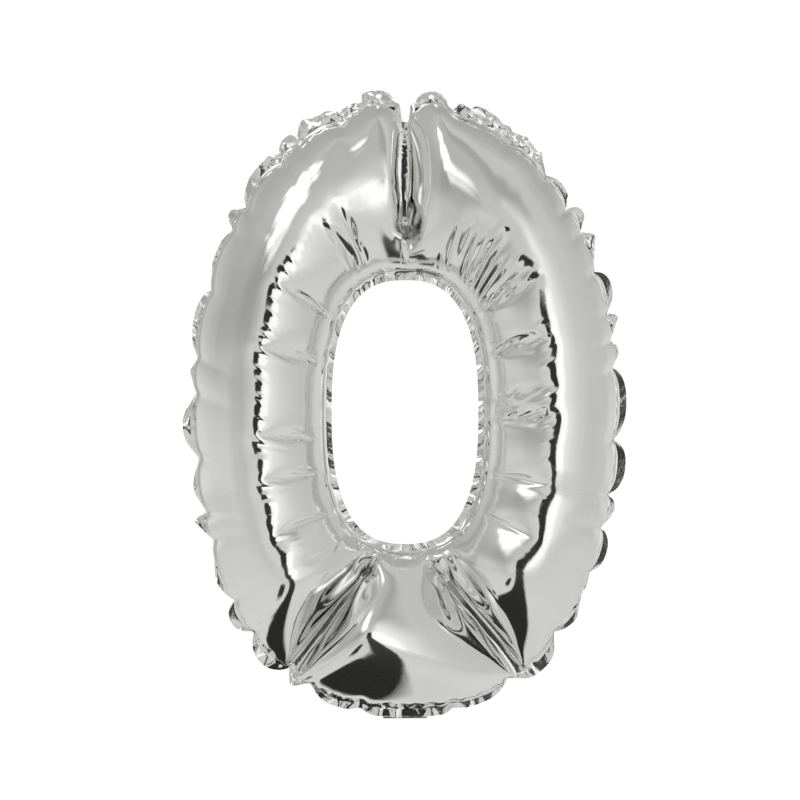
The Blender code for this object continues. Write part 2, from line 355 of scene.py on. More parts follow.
class Film:
    """Both designed sheets, their welds, the slack of the film and the seeds of creases."""

    def __init__(self, round_steps, chamber_rows):
        rng = np.random.default_rng(SEED)
        self.rng = rng
        self.shape = (round_steps, HOLE_ROWS + chamber_rows + RIM_ROWS + 1)
        self.first = HOLE_ROWS
        self.last = HOLE_ROWS + chamber_rows
        hole_angle, rim_angle = grid_angles(round_steps)
        hole, rim = hole_points(hole_angle), rim_points(rim_angle)
        cusp, near, phase, index = puckers(
            rim, PUCKER_PITCH, PUCKER_SPREAD, PUCKER_WEAKEST, rng
        )
        width = np.linalg.norm(rim - hole, axis=1)
        notch = hill(rim[:, 0], NOTCH_CALM) * (rim[:, 1] > CENTRE_Z)
        inlet = hill(rim[:, 0], INLET_CALM) * (rim[:, 1] < CENTRE_Z)
        calm = (1 - notch) * (1 - inlet)
        arch = 1 - np.abs(2 * phase - 1) ** 2.2
        count = index.max() + 1
        reach = rng.uniform(0.1, 1.15, count)[index]
        self.flange_width = RIM_MARGIN * (1 - calm * (1 - (0.12 + 0.88 * reach) * arch**0.6))
        seam_dip = (CUSP_DEPTH * cusp**1.5 * near - PUFF_SWELL * arch) * calm
        self.hole, self.rim = hole, rim
        self.width = width
        inward = (hole - rim) / width[:, None]
        off = np.abs(rim[:, 0])
        crest = hill(off - CREST_X, CREST_WIDTH) * (rim[:, 1] > CENTRE_Z)
        self.seam_dip = seam_dip * (1 - 0.7 * crest)
        self.margin = RIM_MARGIN - CREST_TUCK * crest
        self.flange_width = np.minimum(self.flange_width, self.margin + 1.0)
        lace = sigmoid((off - LACE_START) / 1.5) / (1 + np.exp((off - LACE_END) / 4))
        self.lace = lace * (rim[:, 1] > CENTRE_Z)
        self.flange_width += self.lace * (LACE_WIDTH - self.flange_width) * 0.9
        self.rim_seam = rim + inward * self.margin[:, None]
        self.welds = weld_lines()
        self.across = (np.arange(self.shape[1]) - self.first) / chamber_rows
        self.share = (1 - np.cos(np.pi * np.clip(self.across, 0, 1))) / 2
        self.flat = self.flat_grid()
        self.gaps = [segment_distance(self.flat, a, b) for a, b, _ in self.welds]
        self.welded = np.zeros(self.shape, bool)
        self.welded[:, : self.first + 1] = True
        self.welded[:, self.last:] = True
        for gap in self.gaps:
            self.welded |= gap < WELD_HALF_WIDTH
        self.cusp, self.near, self.calm = cusp, near, calm
        front = self.crease_paths(FRONT_CREASES)
        back = self.random_creases()
        depth = np.stack([self.depth(front), self.depth(back)])
        for a, b, deep, half in SOFT_FOLDS:
            away = segment_distance(self.flat, a, b)
            depth[0] -= deep * hill(away, half) * np.minimum(depth[0] / 12, 1)
        side = np.array([-1.0, 1.0])[:, None, None]
        flat = np.broadcast_to(self.flat, (2, *self.flat.shape))
        self.smooth = np.stack([flat[..., 0], side * depth, flat[..., 1]], -1)
        self.slack()
        self.hole_wave = self.hole_edge(rng)
        wave = FLANGE_WAVE * np.cos(np.pi * (phase + index)) * near * (1 - inlet)
        rows = np.clip((self.across - 1) * chamber_rows / RIM_ROWS, 0, 1)
        wave = wave * np.where(rim[:, 0] > 0, 0.2, 1.0)
        self.flange_wave = wave[:, None] * rows
        self.crumples = self.lace_crumples(rng, rows)
        self.ticks = self.crown_ticks(rng)
        self.ribs = self.fan()

    def lace_crumples(self, rng, rows):
        """Crumpling of the wide seal on the shoulders: moves of its points in millimetres."""
        steps = self.shape[0]
        moves = []
        for size in (1.0, 1.3, 1.0):
            value = np.stack([
                soft_noise(rng, steps, steps / 90) * 0.5 + soft_noise(rng, steps, steps / 240)
                for _ in range(self.shape[1] - self.last)
            ], 1)
            move = np.zeros(self.shape)
            move[:, self.last:] = size * value
            moves.append(move * self.lace[:, None] * rows)
        return np.stack(moves, -1)

    def fan(self):
        """Straight ribs that run out from the hole at the upper right of the front sheet."""
        first, last = (self.nearest(end, self.first + 16) for end in FAN_ENDS)
        place = wrap(np.arange(self.shape[0]) - first, self.shape[0]) / (last - first)
        inside = np.sin(np.pi * np.clip(place, 0, 1)) ** 0.4
        turn = 2 * math.pi * FAN_RIBS * place
        wave = np.sin(turn) + 0.3 * np.sin(2 * turn)
        rise, fall = (self.share - 0.05) / 0.07, (0.44 - self.share) / 0.12
        run = np.clip(rise, 0, 1) * np.clip(fall, 0, 1)
        return FAN_HEIGHT * (wave * inside)[:, None] * run

    def crown_ticks(self, rng):
        """Short wrinkles across the crown, close together on the left, few on the right."""
        steps = self.shape[0]
        row = self.first + (self.last - self.first) // 2
        place, length = running_length(self.flat[:, row])
        ticks = np.zeros(self.shape)
        at = 0.0
        while at < length:
            index = int(np.searchsorted(place, at)) % steps
            x, z = self.flat[index, row]
            away = wrap(place - at, length)
            shift = rng.uniform(-0.015, 0.015)
            run = hill(self.share - CROWN_SHARE - shift, rng.uniform(0.02, 0.05))
            side = sigmoid(9 - abs(z - CENTRE_Z - 8) / 9)
            size = rng.uniform(0.10, 0.24) * side
            ticks += size * hill(away, rng.uniform(0.9, 1.3))[:, None] * run
            at += rng.uniform(3.5, 8.0) if x < 0 else rng.uniform(6.0, 24.0)
        return ticks

    def hole_edge(self, rng):
        """Waves of the narrow seal round the hole, largest at its free edge."""
        place, length = running_length(self.hole)
        wave = np.zeros(len(place))
        for count in (13, 22, 31, 44):
            turn = rng.uniform(0, 2 * math.pi)
            wave += np.sin(2 * math.pi * count * place / length + turn) * (22 / count) ** 0.5
        free = np.clip(1 - np.arange(self.shape[1]) / self.first, 0, 1)
        x, z = self.hole.T
        quiet = hill(z + 182, 32, 4) * (x < 0)
        quiet = quiet + np.exp(-((x - 28) ** 2 + (z + 112) ** 2) / 16**2)
        return HOLE_WAVE * (wave * (1 - 0.8 * quiet))[:, None] * free

    def flat_grid(self):
        inward = (self.hole - self.rim) / self.width[:, None]
        hole_seam = self.hole - inward * HOLE_MARGIN
        dip = inward * self.seam_dip[:, None]
        rim_edge = self.rim_seam + dip - inward * self.flange_width[:, None]
        rows = []
        for row, share in enumerate(self.share):
            if row < self.first:
                rows.append(self.hole + (hole_seam - self.hole) * row / self.first)
            elif row > self.last:
                out = (row - self.last) / RIM_ROWS
                rows.append((self.rim_seam + dip) * (1 - out) + rim_edge * out)
            else:
                rows.append(hole_seam + (self.rim_seam - hole_seam) * share + dip * share**9)
        return np.stack(rows, 1)

    def nearest(self, point, row):
        return int(np.argmin(np.linalg.norm(self.flat[:, row] - point, axis=1)))

    def crease_paths(self, creases):
        inner_row = self.first + int(0.2 * (self.last - self.first))
        crown_row = self.first + int(0.5 * (self.last - self.first))
        paths = []
        for start, end, strength in creases:
            a, b = self.nearest(start, inner_row), self.nearest(end, crown_row)
            paths.append((a, wrap(b - a, self.shape[0]), strength))
        return sorted(paths)

    def random_creases(self):
        count = self.shape[0]
        place = np.cumsum(self.rng.uniform(0.5, 1.5, 18))
        place = place / place[-1] * count
        skew = self.rng.normal(0, count / 300, len(place))
        strength = self.rng.uniform(0.6, 1.0, len(place))
        return sorted(zip(place, skew, strength))

    def depth(self, paths):
        """Depth of a sheet: round outside, and in puffs between creases beside the hole."""
        count = self.shape[0]
        start, skew, strength = (np.array(v, float) for v in zip(*paths))
        lines = np.arange(count)
        depth = np.zeros(self.shape)
        chord_low = 2 * math.sqrt(CHORD_START * (1 - CHORD_START))
        chord_high = 2 * math.sqrt(CHORD_END * (1 - CHORD_END))
        for row in range(self.first, self.last + 1):
            share = self.share[row]
            circle = 2 * math.sqrt(share * (1 - share))
            if not CHORD_START < share < CHORD_END:
                depth[:, row] = BULGE_DEPTH * circle
                continue
            along = (share - CHORD_START) / (CHORD_END - CHORD_START)
            chord = chord_low + (chord_high - chord_low) * along
            place = (start + skew * min(along * 1.2, 1.2)) % count
            order = np.argsort(place)
            at, deep = place[order], strength[order]
            at = np.concatenate([[at[-1] - count], at, [at[0] + count]])
            deep = np.concatenate([[deep[-1]], deep, [deep[0]]])
            low = np.searchsorted(at, lines, side="right") - 1
            step = np.linalg.norm(np.roll(self.flat[:, row], -1, 0) - self.flat[:, row], axis=1)
            span = at[low + 1] - at[low]
            phase = (lines - at[low]) / span
            puff = 1 - np.abs(2 * phase - 1) ** 2.4
            dip = deep[low] * (1 - phase) + deep[low + 1] * phase
            puff = 1 - dip * (1 - puff)
            nearest = np.minimum(lines - at[low], at[low + 1] - lines) * step
            ridge = hill(nearest, RIDGE_WIDTH) * dip
            valley = hill(nearest, VALLEY_WIDTH) * dip
            room = BULGE_DEPTH * (circle - chord)
            height = np.minimum(CELL_FULLNESS * room, CELL_STEEPNESS * span * step)
            fold = math.sin(math.pi * min(along * 1.15, 1.0))
            base = BULGE_DEPTH * chord + 0.05 * room
            line = (RIDGE_HEIGHT * ridge - VALLEY_DEPTH * valley) * fold
            depth[:, row] = base + height * puff + line
        full = np.ones(self.shape)
        for gap, (start, end, groove) in zip(self.gaps, self.welds):
            along = np.asarray(end) - start
            away = np.cross(self.flat - np.asarray(start), along)
            lobe = sigmoid(away * np.sign(start[0] + 0.1) / np.linalg.norm(along))
            wider = 1 + 0.6 * lobe * (start[0] > -1) - 0.45 * lobe * (start[0] < -1)
            wider = wider - 0.55 * (1 - lobe) * (abs(start[0]) < 1)
            clear = np.maximum(gap - WELD_HALF_WIDTH, 0) / wider
            full *= np.sqrt(1 - hill(clear, groove))
            if np.abs(start[0]) < 1:
                full *= 1 - LOBE_SLOPE * hill(gap, LOBE_REACH)
        pinch = self.cusp**3 * self.near * self.calm
        fade = np.clip((self.across - 0.78) / 0.22, 0, 1) ** 1.5
        full *= 1 - 0.20 * pinch[:, None] * fade
        return depth * full

    def slack(self):
        """Extra film along and across the grid, and the first bumps from which creases grow."""
        share, across = self.share[None, :], self.across[None, :]
        gaps = self.gaps
        x = self.flat[..., 0]

        def around(centre, radius):
            return hill(np.linalg.norm(self.flat - np.asarray(centre), axis=-1), radius)

        edge = sigmoid((across - 0.95) / 0.02)
        height = self.flat[..., 1] - CENTRE_Z
        sides = sigmoid(8 - np.abs(height - 8) / 9)
        crown = hill(share - CROWN_SHARE, 0.03) * sides
        inner = np.clip(1 - share / 0.5, 0, 1) ** 0.5 * (across > -0.05)
        beside_darts = sum(hill(gap - 9, 9) for gap in gaps[1:])
        right = sigmoid(x / 0.8)
        beside_notch = hill(gaps[0] - 7, 6) * (0.1 + 0.9 * right)
        knots = sum(around(a, 12.5) for a, _, _ in self.welds)
        self.slack_along = (
            0.010 * inner + 0.007 * crown + 0.02 * edge + 0.05 * beside_darts
            + 0.06 * beside_notch + 0.08 * knots
        )
        self.slack_across = 0.002 + 0.05 * knots
        steps = self.shape[0]
        coarse = soft_noise(self.rng, steps, steps / 110)
        fine = soft_noise(self.rng, steps, steps / 230)
        # Not used itself: it keeps the random draws that follow in their places.
        soft_noise(self.rng, steps, steps / 420)
        seed = 0.05 * (0.8 * coarse + fine * (0.4 + np.abs(coarse)))[:, None] * crown
        seed = seed + 0.06 * fine[:, None] * inner
        seed = seed + 0.05 * fine[:, None] * edge
        for gap in gaps[1:]:
            pleat = np.sin(2 * math.pi * gap / 6.5 + 1.0)
            seed = seed + 0.95 * pleat * hill(gap - 10, 9)
        seed = seed + 0.7 * np.sin(2 * math.pi * gaps[0] / 5.5) * beside_notch
        low = hill(x, INLET_CALM) * (self.flat[..., 1] < CENTRE_Z)
        foot = sigmoid((across - 0.93) / 0.012) * low
        self.slack_along += 0.05 * foot
        seed = seed + 0.5 * fine[:, None] * foot
        shoulder = around((22.0, CENTRE_Z + 88), 16)
        self.slack_along += 0.05 * shoulder
        self.slack_across += 0.04 * shoulder
        self.seed = seed + 0.9 * self.crumple(3.6, 7.5) * (knots + shoulder)

    def crumple(self, shortest, longest):
        """Random hills with wavelengths between two limits, the same on both sheets."""
        total = np.zeros(self.shape)
        waves = 14
        for _ in range(waves):
            turn = self.rng.uniform(0, 2 * math.pi)
            wave = 2 * math.pi / self.rng.uniform(shortest, longest)
            along = self.flat @ np.array([math.cos(turn), math.sin(turn)])
            total += np.sin(wave * along + self.rng.uniform(0, 2 * math.pi))
        return total / math.sqrt(waves)


class Inflation:
    """Relaxes both sheets under pressure: distance limits on the film's own grid."""

    def __init__(self, film):
        self.film = film
        smooth = film.smooth
        nxt = np.roll(smooth, -1, 1)
        along, across = nxt - smooth, smooth[:, :, 1:] - smooth[:, :, :-1]
        more_along = 1 + film.slack_along
        more_across = 1 + film.slack_across
        along_length = np.linalg.norm(along, axis=-1)
        across_length = np.linalg.norm(across, axis=-1)
        rest_along = along_length * (more_along + np.roll(more_along, -1, 0)) / 2
        rest_across = across_length * (more_across[:, 1:] + more_across[:, :-1]) / 2
        mean_along = (rest_along[:, :, :-1] + rest_along[:, :, 1:]) / 2
        mean_across = (rest_across + np.roll(rest_across, -1, 1)) / 2
        dot = np.einsum("sijk,sijk->sij", along[:, :, :-1], across)
        lean = dot / (along_length[:, :, :-1] * across_length + 1e-9)
        squares = mean_along**2 + mean_across**2
        twice = 2 * mean_along * mean_across * lean
        self.rest = [
            length[..., None].astype(F)
            for length in (
                rest_along, rest_across, np.sqrt(squares + twice), np.sqrt(squares - twice)
            )
        ]
        du = (nxt - np.roll(smooth, 1, 1)) / 2
        normal = np.cross(du, np.gradient(smooth, axis=2))
        area = np.linalg.norm(normal, axis=-1)
        self.area = np.maximum(area, 0.05)[..., None].astype(F)
        normal = normal / (area[..., None] + 1e-9)
        facing = np.array([1.0, -1.0])[:, None, None, None]
        normal = np.where(normal[..., 1:2] * facing < 0, normal, -normal)
        seed = (film.seed * ~film.welded)[..., None]
        points = smooth + normal * seed
        points[..., 1] += film.rng.normal(0, 0.01, points.shape[:3])
        points[..., 1] += film.flange_wave
        self.points = points.astype(F)
        self.velocity = np.zeros_like(self.points)
        self.join()
        turned = self.normals()
        front = 1 if np.median(turned[0, ..., 1]) < 0 else -1
        back = 1 if np.median(turned[1, ..., 1]) > 0 else -1
        self.outward = np.array([front, back], F)[:, None, None, None]
        x, z = film.flat[..., 0], film.flat[..., 1]
        self.side = np.sign(x)
        self.lobes = (z > CENTRE_Z + 90) & (np.abs(x) < 40) & (np.abs(x) > 1e-3)

    def normals(self):
        p = self.points
        du = (np.roll(p, -1, 1) - np.roll(p, 1, 1)) * F(0.5)
        dv = np.empty_like(p)
        dv[:, :, 1:-1] = (p[:, :, 2:] - p[:, :, :-2]) * F(0.5)
        dv[:, :, 0] = p[:, :, 1] - p[:, :, 0]
        dv[:, :, -1] = p[:, :, -1] - p[:, :, -2]
        return np.cross(du, dv)

    @staticmethod
    def limit(a, b, rest, stiffness):
        d = b - a
        length = np.sqrt(np.einsum("...k,...k->...", d, d))[..., None] + F(1e-9)
        d *= (length - rest) / length * F(0.5 * stiffness)
        a += d
        b -= d

    def limit_seam(self, rows_a, rows_b, rest, stiffness):
        """The limits between the last line and the first, where the grid closes."""
        a = self.points[:, -1][:, rows_a].copy()
        b = self.points[:, 0][:, rows_b].copy()
        self.limit(a, b, rest, stiffness)
        self.points[:, -1][:, rows_a] = a
        self.points[:, 0][:, rows_b] = b

    def limits(self):
        p, rows = self.points, self.film.shape[1]
        along, across, rising, falling = self.rest
        every = slice(None)
        self.limit(p[:, 0::2], p[:, 1::2], along[:, 0::2], 1)
        self.limit(p[:, 1:-1:2], p[:, 2::2], along[:, 1:-1:2], 1)
        self.limit_seam(every, every, along[:, -1], 1)
        for start in (0, 1):
            low, high = slice(start, rows - 1, 2), slice(start + 1, rows, 2)
            self.limit(p[:, :, low], p[:, :, high], across[:, :, start::2], 1)
        lower, upper = slice(0, rows - 1), slice(1, rows)
        for a, b, rest in ((lower, upper, rising), (upper, lower, falling)):
            self.limit(p[:, 0::2, a], p[:, 1::2, b], rest[:, 0::2], SHEAR_STIFFNESS)
            self.limit(p[:, 1:-1:2, a], p[:, 2::2, b], rest[:, 1:-1:2], SHEAR_STIFFNESS)
            self.limit_seam(a, b, rest[:, -1], SHEAR_STIFFNESS)

    def bending(self, normal):
        def spread(value):
            out = np.roll(value, 1, 1) + np.roll(value, -1, 1) - 2 * value
            out[:, :, 1:-1] += value[:, :, 2:] + value[:, :, :-2] - 2 * value[:, :, 1:-1]
            return out

        size = np.sqrt(np.einsum("...k,...k->...", normal, normal))[..., None] + F(1e-9)
        unit = normal / size
        curl = np.einsum("...k,...k->...", spread(spread(self.points)), unit)
        return curl[..., None] * unit * F(-BENDING)

    def join(self):
        mean = (self.points[0][self.film.welded] + self.points[1][self.film.welded]) * F(0.5)
        self.points[0][self.film.welded] = mean
        self.points[1][self.film.welded] = mean

    def hold(self, row, target, share):
        p = self.points
        p[:, :, row, 0] += (target[:, 0] - p[:, :, row, 0]) * F(share)
        p[:, :, row, 2] += (target[:, 1] - p[:, :, row, 2]) * F(share)

    def run(self, steps):
        film = self.film
        inside = film.welded.copy()
        inside[:, film.last + 1:] = False
        hole = film.hole.astype(F)
        hole_seam = film.flat[:, film.first].astype(F)
        rim_seam = film.flat[:, film.last].astype(F)
        free = (~film.welded)[None, ..., None].astype(F)
        for _ in range(steps):
            normal = self.normals()
            before = self.points.copy()
            self.velocity *= F(VELOCITY_KEPT)
            self.velocity += normal / self.area * self.outward * free * F(PRESSURE)
            self.velocity += self.bending(normal)
            self.points += self.velocity
            self.limits()
            self.join()
            x = self.points[..., 0]
            near, side = x[:, self.lobes], self.side[self.lobes]
            apart = np.where(side > 0, np.maximum(near, 0.3), np.minimum(near, -0.3))
            x[:, self.lobes] = apart
            self.points[:, inside, 1] *= F(1 - SEAM_FLATTEN)
            self.hold(0, hole, HOLE_HOLD)
            self.hold(film.first, hole_seam, HOLE_HOLD)
            self.hold(film.last, rim_seam, RIM_HOLD)
            self.velocity = self.points - before


# -------------------- materials
def feed(tree, made, sources):
    """Link or set the inputs of a node, given by name or number."""
    for key, source in sources.items():
        if isinstance(source, bpy.types.NodeSocket):
            tree.links.new(source, made.inputs[key])
        else:
            made.inputs[key].default_value = source


def node(tree, kind, output, sources=None, **settings):
    """Add a node, feed it and give back one of its outputs."""
    made = tree.nodes.new(kind)
    for key, value in settings.items():
        setattr(made, key, value)
    feed(tree, made, sources or {})
    return made.outputs[output]


def ramp(tree, source, low, high, out_low=0, out_high=1, kind="LINEAR"):
    keys = ("Value", "From Min", "From Max", "To Min", "To Max")
    sources = dict(zip(keys, (source, low, high, out_low, out_high)))
    return node(tree, "ShaderNodeMapRange", "Result", sources, interpolation_type=kind)


def maths(tree, operation, *sources):
    return node(tree, "ShaderNodeMath", 0, dict(enumerate(sources)), operation=operation)


def mix(tree, factor, a, b, kind="FLOAT"):
    sources = {"Factor": factor, "A": a, "B": b}
    return node(tree, "ShaderNodeMix", "Result", sources, data_type=kind)


def attribute(tree, name):
    return node(tree, "ShaderNodeAttribute", "Fac", attribute_name=name)


def grain(tree, place, scale, detail=3.0, distortion=0.0):
    sources = {"Vector": place, "Scale": scale, "Detail": detail, "Distortion": distortion}
    return node(tree, "ShaderNodeTexNoise", "Fac", sources)


def new_material(name, fixed):
    """A material, its tree, its shader with some inputs set, and the place on the piece."""
    mat = bpy.data.materials.new(name)
    mat.use_nodes = True
    tree = mat.node_tree
    shader = tree.nodes["Principled BSDF"]
    feed(tree, shader, fixed)
    return mat, tree, shader, node(tree, "ShaderNodeTexCoord", "Object")


def foil_material(name, sealed):
    """Vacuum-coated film: a mirror with faint streaks, fine crinkles and a duller seal."""
    mat, tree, shader, place = new_material(name, {"Metallic": 1.0})
    cloud = ramp(tree, grain(tree, place, 14.0, 4.0, 0.6), 0.35, 0.65)
    dark = [c * FOIL_CLOUD for c in FOIL_TINT]
    colour = mix(tree, cloud, (*dark, 1), (*FOIL_TINT, 1), "RGBA")
    rough = ramp(tree, grain(tree, place, 55.0, 5.0, 1.2), 0.3, 0.7, *FOIL_ROUGHNESS)
    height = maths(tree, "MULTIPLY", grain(tree, place, 240.0, 3.0, 0.8), CRINKLE_HEIGHT)
    if sealed:
        seal, worn = attribute(tree, "seal"), attribute(tree, "worn")
        rough = maths(tree, "MULTIPLY_ADD", seal, SEAL_ROUGHNESS, rough)
        rough = maths(tree, "MULTIPLY_ADD", worn, WORN_ROUGHNESS, rough)
        pressed = maths(tree, "MULTIPLY", grain(tree, place, 900.0, 2.0), seal)
        height = maths(tree, "MULTIPLY_ADD", pressed, EMBOSS_HEIGHT, height)
    sources = {"Height": height, "Strength": 1.0, "Distance": 1.0}
    normal = node(tree, "ShaderNodeBump", "Normal", sources)
    feed(tree, shader, {"Base Color": colour, "Roughness": rough, "Normal": normal})
    return mat


def cloudy_material(name, scale, dark, light, fixed, rough=None):
    """A material whose colour, and roughness where its range is given, vary softly."""
    mat, tree, shader, place = new_material(name, fixed)
    cloud = grain(tree, place, scale)
    feed(tree, shader, {"Base Color": mix(tree, cloud, (*dark, 1), (*light, 1), "RGBA")})
    if rough:
        feed(tree, shader, {"Roughness": ramp(tree, cloud, 0.3, 0.7, *rough)})
    return mat


# -------------------- pieces
def grid_quads(lines, rows, closed, flip):
    index = np.arange(lines * rows).reshape(lines, rows)
    here, there = (index, np.roll(index, -1, 0)) if closed else (index[:-1], index[1:])
    quads = [here[:, :-1], there[:, :-1], there[:, 1:], here[:, 1:]]
    quads = np.stack(quads, -1).reshape(-1, 4)
    return quads[:, ::-1] if flip else quads


def add_mesh(name, points, faces, mat):
    mesh = bpy.data.meshes.new(name)
    mesh.from_pydata(np.asarray(points, float).reshape(-1, 3).tolist(), [], faces.tolist())
    mesh.validate()
    mesh.shade_smooth()
    mesh.materials.append(mat)
    obj = bpy.data.objects.new(name, mesh)
    bpy.context.scene.collection.objects.link(obj)
    return obj


def add_values(obj, label, values):
    """One number for each point of a mesh, which its material reads."""
    layer = obj.data.attributes.new(label, "FLOAT", "POINT")
    layer.data.foreach_set("value", values.astype(np.float32).ravel())


def add_film(name, points, faces, look, body, nodes):
    """A piece of film from its points in millimetres, riding on a body and standing for nodes."""
    obj = add_mesh(name, np.asarray(points) * MM, faces, look)
    if body:
        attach(obj, body)
    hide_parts(*nodes)
    return obj


def foil_sheets(looks):
    film, steps = Film(ROUND_STEPS, CHAMBER_ROWS), RELAX_STEPS
    air = Inflation(film)
    air.run(steps)
    points = air.points.astype(float)
    low_left = hill(film.rim[:, 1] + 272, 32, 4) * (film.rim[:, 0] < 0)
    calm = 0.8 / (1 + np.exp(-film.rim[:, 0] / 3)) * (1 - film.lace) + 0.85 * low_left
    points[:, :, film.last + 1:, 1] *= 1 - calm[:, None]
    points[..., 1] += film.hole_wave
    points[0, ..., 1] -= film.ticks + film.ribs
    points[1, ..., 1] += film.ticks
    points += film.crumples
    smooth_weld = (film.gaps[0] < WELD_HALF_WIDTH) & (film.across > 0)[None, :]
    seal = film.welded * np.where(smooth_weld, 0.15, 1.0)
    worn = np.clip((0.44 - film.share) / 0.06, 0, 1) * (film.across > 0)
    worn = np.broadcast_to(worn, film.shape)
    for name, side, out in (("front_foil", 0, -1), ("back_foil", 1, 1)):
        faces = grid_quads(*film.shape, True, side == 0)
        shell = points[side].copy()
        shell[..., 1] += out * HALF_FILM
        nodes = [name + "_sheet"]
        obj = add_film(
            name, shell, faces, looks[name], "balloon", nodes
        )
        add_values(obj, "seal", seal)
        add_values(obj, "worn", worn)
    return film, points.mean(0)


def seal_strips(film, middle, look):
    """The fused layer between the films: each strip is the part of the grid that is welded."""
    rows = film.shape[1]
    quads = grid_quads(*film.shape, True, True)
    row = quads % rows
    chamber = np.zeros(film.shape, bool)
    chamber[:, film.first + 1:film.last] = True
    strips = [
        ("outer_seal", "outer_seal_band", row.min(1) >= film.last),
        ("hole_seal", "hole_seal_band", row.max(1) <= film.first),
    ]
    for label, gap in zip(("top_cross_seal", "right_dart_seal", "left_dart_seal"), film.gaps):
        near = (gap < WELD_HALF_WIDTH * 1.5) & chamber & film.welded
        strips.append((label + "_strip", label, near.ravel()[quads].all(1)))
    for name, cad, chosen in strips:
        faces = quads[chosen]
        used, faces = np.unique(faces, return_inverse=True)
        faces = faces.reshape(-1, 4)
        corners = middle.reshape(-1, 3)[used]
        add_film(name, corners, faces, look, "balloon", [cad])


def tab(name, side, look, cad):
    """A double film tab with its punched hole: rings of points from the hole to the outline."""
    cos, sin = turns(TAB_TURNS)
    wide = np.where(cos * side > 0, TAB_OUTER[side], TAB_INNER)
    reach = np.full(TAB_TURNS, TAB_HOLE)
    for length in np.arange(TAB_HOLE, 24, 0.05):
        x, z = length * cos, length * sin
        dome = np.maximum(z - TAB_WAIST, 0) / (TAB_RISE - TAB_WAIST)
        inside = ((x / wide) ** 2 + dome**2 <= 1) & (z >= -TAB_DROP)
        reach = np.where(inside, length, reach)
    share = np.linspace(0, 1, TAB_RINGS)[:, None]
    radius = TAB_HOLE + (reach - TAB_HOLE) * share
    x, z = radius * cos, radius * sin
    rise = z - TAB_BEND_Z
    free = np.clip(rise / 6, 0, 1)
    crease = 0.30 * np.sin(0.6 * x + 0.3 * z + side) + 0.12 * np.sin(1.2 * x - 0.9 * z)
    hem = np.clip((share - 0.8) / 0.2, 0, 1) ** 2 * 0.7
    lean = TAB_LEAN[side]
    y = free * (crease + 0.012 * x**2 - hem) + np.maximum(rise, 0) * math.sin(lean)
    z = np.where(rise > 0, TAB_BEND_Z + rise * math.cos(lean), z)
    if side < 0:
        roll = np.maximum(-TAB_ROLL_START - x, 0)
        turn = roll / TAB_ROLL
        x = np.where(roll > 0, -TAB_ROLL_START - TAB_ROLL * np.sin(turn), x)
        y = y - TAB_ROLL * (1 - np.cos(turn))
    points = np.stack([x + side * TAB_X, y, z], -1)
    index = np.arange(points[..., 0].size).reshape(TAB_RINGS, TAB_TURNS)
    nxt = np.roll(index, -1, 1)
    faces = np.stack([index[:-1], nxt[:-1], nxt[1:], index[1:]], -1).reshape(-1, 4)
    add_film(name, points, faces, look, "balloon", [cad])


def strip_grid(path, half_width, columns, lift):
    """Points of a film strip along a path of (y, z), with lift(x share, length) off it."""
    path = np.asarray(path, float)
    run = np.gradient(path, axis=0)
    run /= np.linalg.norm(run, axis=1)[:, None]
    across = np.linspace(-1, 1, columns)
    length = np.concatenate([[0], np.cumsum(np.linalg.norm(np.diff(path, axis=0), axis=1))])
    off = lift(across[None, :], length[:, None])
    y = path[:, :1] + off * run[:, 1:]
    z = path[:, 1:] - off * run[:, :1]
    x = across[None, :] * half_width * np.ones_like(y)
    return np.stack([x, y, z], -1), length[-1]


def tail(looks):
    """The flat filling tail: two films and the seals down its sides, folded up behind."""
    rise = math.radians(TAIL_REST_RISE)
    top = HINGE_Z + TAIL_BEND
    down = [(0.0, z) for z in np.linspace(HINGE_Z + 5, top, 5)]
    bend = []
    for turn in np.linspace(0.15, 1, 9) * (math.pi / 2 + rise):
        bend.append((TAIL_BEND * (1 - math.cos(turn)), top - TAIL_BEND * math.sin(turn)))
    end = np.array(bend[-1])
    along = np.array([math.cos(rise), math.sin(rise)])
    out = [end + along * s for s in np.linspace(0.6, TAIL_LENGTH, 40)]
    path = np.array([*down, *bend, *out])

    def wave(across, length):
        free = np.clip((length - 6) / 10, 0, 1)
        return 0.7 * np.sin(length / 5.5) * free * (0.6 + 0.4 * across) + 0.4 * across**2 * free

    def puff(out):
        def lift(across, length):
            free = np.clip((length - 7) / 4, 0, 1)
            body = np.clip(1 - (across / 0.62) ** 2, 0, 1)
            return wave(across, length) + out * (HALF_FILM + 0.5 * body * free)
        return lift

    for name, side in (("tail_front", 1), ("tail_back", -1)):
        points, length = strip_grid(path, TAIL_HALF_WIDTH, TAIL_COLUMNS, puff(side))
        faces = grid_quads(*points.shape[:2], False, side > 0)
        nodes = [name + "_ply"]
        obj = add_film(name, points, faces, looks["tail"], None, nodes)
        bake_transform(obj)
    points, _ = strip_grid(path, TAIL_HALF_WIDTH, TAIL_COLUMNS, wave)
    for name, edge in (
        ("tail_left", points[:, :TAIL_SEAL_COLUMNS]), ("tail_right", points[:, -TAIL_SEAL_COLUMNS:])
    ):
        faces = grid_quads(*edge.shape[:2], False, False)
        nodes = [name + "_seal"]
        obj = add_film(name, edge, faces, looks["heat_seal"], None, nodes)
        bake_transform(obj)


